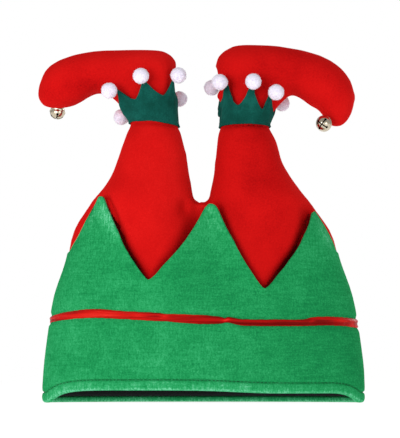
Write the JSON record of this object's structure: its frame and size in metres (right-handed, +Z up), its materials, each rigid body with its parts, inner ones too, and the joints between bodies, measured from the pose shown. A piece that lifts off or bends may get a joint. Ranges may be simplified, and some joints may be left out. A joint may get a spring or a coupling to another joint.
{
  "type": "elf legs hat",
  "caption": "Plush costume hat whose crown becomes upturned stuffed elf legs, with a pointed green band, satin ribbon, felt ankle cuffs, pompoms and toe bells.",
  "frame": {"origin": "on the floor under the hat, at the bottom centre of its overall box", "axes": "+Z up from the hem to the feet, +Y to the back, so the front faces -Y, and +X to the viewer's right"},
  "size_m": [0.2831, 0.101, 0.3123],
  "materials": {
    "green_plush": "short pile green plush",
    "red_plush": "short pile red plush",
    "red_satin": "red satin ribbon",
    "black_lining": "plain black lining cloth",
    "green_felt": "dark green felt",
    "white_yarn": "white fluffy yarn",
    "gold_bell": "polished pale gold plating"
  },
  "bodies": {
    "root": {"band": "green_plush", "ribbon": "red_satin", "crown": "red_plush", "lining": "black_lining", "left_leg": "red_plush", "right_leg": "red_plush", "left_cuff": "green_felt", "right_cuff": "green_felt", "left_pompom_1": "white_yarn", "left_pompom_2": "white_yarn", "left_pompom_3": "white_yarn", "left_pompom_4": "white_yarn", "left_pompom_5": "white_yarn", "left_pompom_6": "white_yarn", "right_pompom_1": "white_yarn", "right_pompom_2": "white_yarn", "right_pompom_3": "white_yarn", "right_pompom_4": "white_yarn", "right_pompom_5": "white_yarn", "right_pompom_6": "white_yarn", "left_bell": "gold_bell", "right_bell": "gold_bell"}
  },
  "joints": []
}
